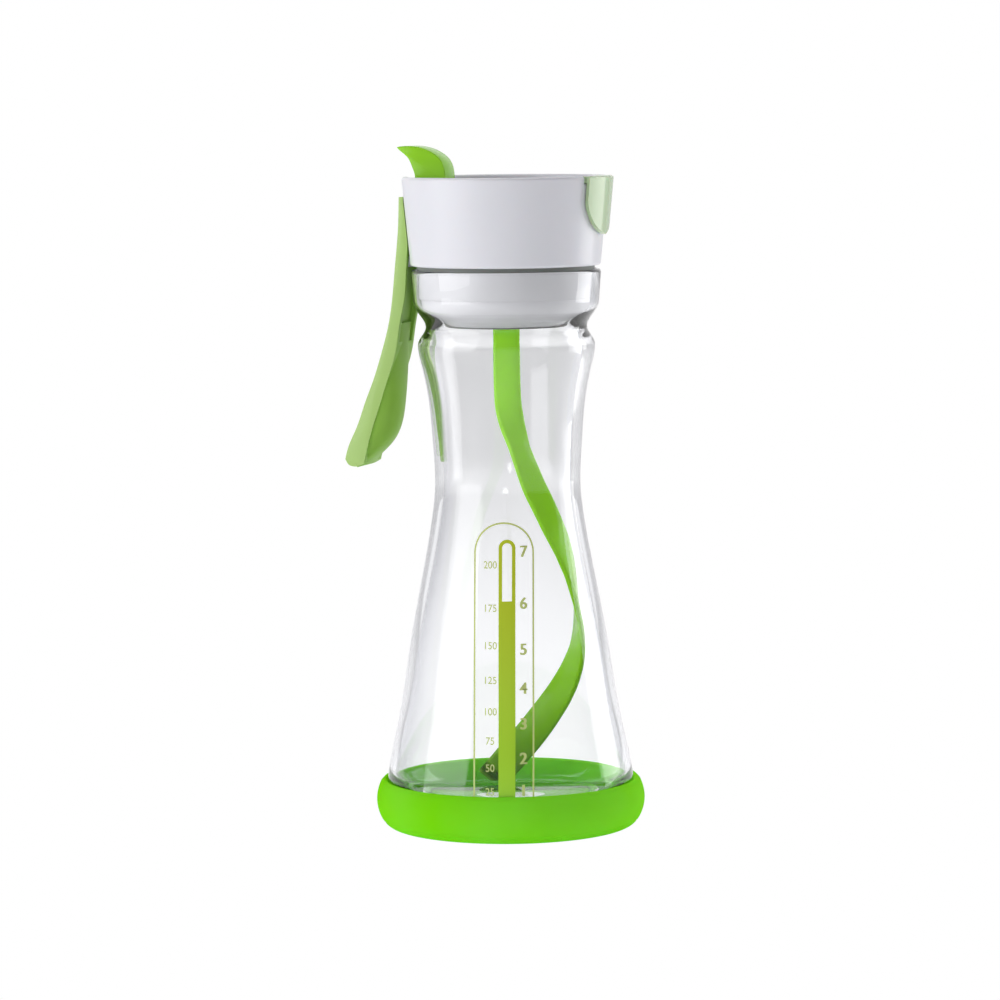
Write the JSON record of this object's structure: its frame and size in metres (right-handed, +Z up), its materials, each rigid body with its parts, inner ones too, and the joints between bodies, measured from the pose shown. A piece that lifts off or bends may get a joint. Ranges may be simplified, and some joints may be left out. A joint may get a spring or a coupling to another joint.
{
  "type": "salad dressing shaker bottle",
  "caption": "Waisted glass bottle in a green boot, with a white lid whose squeeze trigger spins a ribbon paddle inside and a thumb rocker that opens the spout.",
  "frame": {"origin": "on the bottle's axis, at the underside of the ring it stands on", "axes": "+Z up along the bottle's axis, +X towards the spout, -X towards the trigger"},
  "size_m": [0.0931, 0.084, 0.213],
  "materials": {
    "clear_glass": "polished",
    "lime_rubber": "satin",
    "lime_plastic": "gloss",
    "white_plastic": "satin",
    "gear_plastic": "satin",
    "seal_rubber": "matte",
    "steel_parts": "brushed"
  },
  "bodies": {
    "bottle": {"glass_bottle": "clear_glass", "base_ring": "lime_rubber"},
    "lid": {"lid_shell": "white_plastic", "lid_deck": "white_plastic", "plug_cup": "white_plastic", "plug_gasket": "seal_rubber", "pour_duct": "white_plastic", "gear_base": "white_plastic", "gear_cover": "white_plastic", "cover_screws": "steel_parts", "shaft_bushes": "gear_plastic", "shaft_seal": "seal_rubber", "idler_axle": "steel_parts", "trigger_spring": "steel_parts", "rocker_spring": "steel_parts", "trigger_pin": "steel_parts", "rocker_pin": "steel_parts"},
    "trigger": {"trigger_lever": "lime_plastic"},
    "rack": {"drive_rack": "gear_plastic"},
    "idler": {"idler_gear": "gear_plastic"},
    "paddle": {"paddle_gear": "gear_plastic", "paddle_shaft": "steel_parts", "shaft_clip": "steel_parts", "mixing_paddle": "lime_plastic"},
    "rocker": {"pour_rocker": "lime_plastic", "spout_seal": "seal_rubber"}
  },
  "joints": [
    {"name": "lid_lift", "type": "slide", "parent": "bottle", "child": "lid", "axis": [0, 0, 1], "range_m": [0, 0.012]},
    {"name": "trigger_squeeze", "type": "hinge", "parent": "lid", "child": "trigger", "pos_m": [-0.031, 0, 0.177], "axis": [0, -1, 0], "range_deg": [0, 8], "stiffness_Nm_per_rad": 1.5, "springref_deg": -5.73},
    {"name": "rack_travel", "type": "slide", "parent": "lid", "child": "rack", "axis": [-1, 0, 0], "range_m": [0, 0.0019], "deforming": ["trigger_spring"]},
    {"name": "idler_spin", "type": "hinge", "parent": "lid", "child": "idler", "pos_m": [-0.01036, -0.007, 0.1865], "axis": [0, 0, 1], "range_deg": [0, 42]},
    {"name": "paddle_spin", "type": "hinge", "parent": "lid", "child": "paddle", "pos_m": [0, 0, 0.17], "axis": [0, 0, -1], "range_deg": [0, 166]},
    {"name": "rocker_tilt", "type": "hinge", "parent": "lid", "child": "rocker", "pos_m": [-0.0155, 0, 0.2003], "axis": [0, -1, 0], "range_deg": [0, 18], "stiffness_Nm_per_rad": 0.2, "springref_deg": -17.19, "deforming": ["rocker_spring"]}
  ],
  "couplings": [
    {"joint": "rack_travel", "follows": "trigger_squeeze", "m_per_rad": 0.012913},
    {"joint": "idler_spin", "follows": "trigger_squeeze", "ratio": 5.1652},
    {"joint": "paddle_spin", "follows": "trigger_squeeze", "ratio": 20.661}
  ]
}
